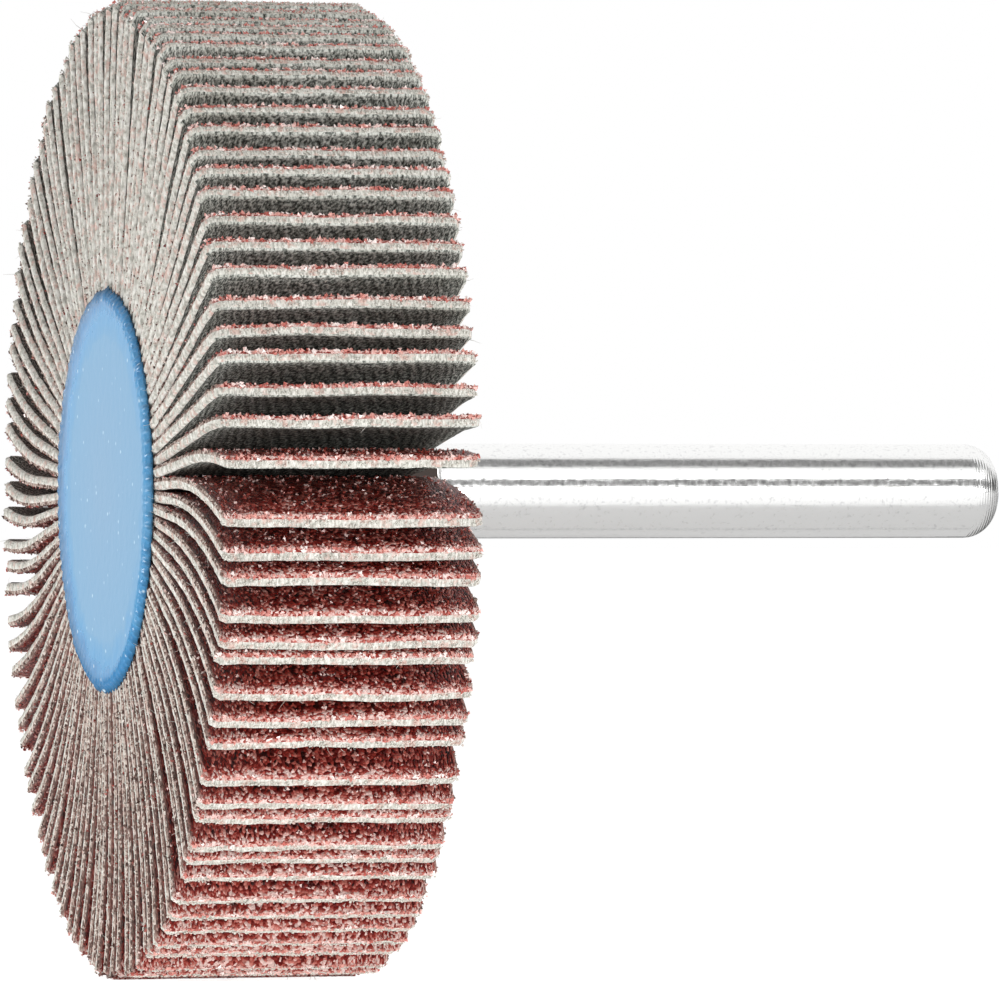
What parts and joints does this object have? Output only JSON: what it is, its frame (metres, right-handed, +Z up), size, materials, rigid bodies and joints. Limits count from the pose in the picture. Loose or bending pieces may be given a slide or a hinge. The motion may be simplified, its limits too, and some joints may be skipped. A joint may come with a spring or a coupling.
{
  "type": "mounted flap wheel",
  "caption": "Mounted flap wheel: a ring of curling coated-cloth abrasive flaps cast into a round resin core on a plain steel shank.",
  "frame": {"origin": "on the spin axis, where the free shank leaves its collar", "axes": "+X along the spin axis towards the free end of the shank, +Z up"},
  "size_m": [0.0586, 0.061, 0.061],
  "materials": {
    "coated_cloth": "off-white cotton twill coated on one face with red-brown aluminium oxide grain",
    "resin": "cast pale blue epoxy, satin in the middle and glossy at its edge",
    "steel": "bright drawn steel with a turned end"
  },
  "bodies": {
    "root": {"flap_pair_01": "coated_cloth", "flap_pair_02": "coated_cloth", "flap_pair_03": "coated_cloth", "flap_pair_04": "coated_cloth", "flap_pair_05": "coated_cloth", "flap_pair_06": "coated_cloth", "flap_pair_07": "coated_cloth", "flap_pair_08": "coated_cloth", "flap_pair_09": "coated_cloth", "flap_pair_10": "coated_cloth", "flap_pair_11": "coated_cloth", "flap_pair_12": "coated_cloth", "flap_pair_13": "coated_cloth", "flap_pair_14": "coated_cloth", "flap_pair_15": "coated_cloth", "flap_pair_16": "coated_cloth", "flap_pair_17": "coated_cloth", "flap_pair_18": "coated_cloth", "flap_pair_19": "coated_cloth", "flap_pair_20": "coated_cloth", "flap_pair_21": "coated_cloth", "flap_pair_22": "coated_cloth", "flap_pair_23": "coated_cloth", "flap_pair_24": "coated_cloth", "flap_pair_25": "coated_cloth", "flap_pair_26": "coated_cloth", "flap_pair_27": "coated_cloth", "flap_pair_28": "coated_cloth", "flap_pair_29": "coated_cloth", "flap_pair_30": "coated_cloth", "flap_pair_31": "coated_cloth", "flap_pair_32": "coated_cloth", "flap_pair_33": "coated_cloth", "flap_pair_34": "coated_cloth", "flap_pair_35": "coated_cloth", "flap_pair_36": "coated_cloth", "flap_pair_37": "coated_cloth", "flap_pair_38": "coated_cloth", "flap_pair_39": "coated_cloth", "flap_pair_40": "coated_cloth", "flap_pair_41": "coated_cloth", "flap_pair_42": "coated_cloth", "flap_pair_43": "coated_cloth", "flap_pair_44": "coated_cloth", "flap_pair_45": "coated_cloth", "flap_pair_46": "coated_cloth", "flap_pair_47": "coated_cloth", "flap_pair_48": "coated_cloth", "flap_pair_49": "coated_cloth", "flap_pair_50": "coated_cloth", "flap_pair_51": "coated_cloth", "flap_pair_52": "coated_cloth", "resin_core": "resin", "shank": "steel"}
  },
  "joints": []
}
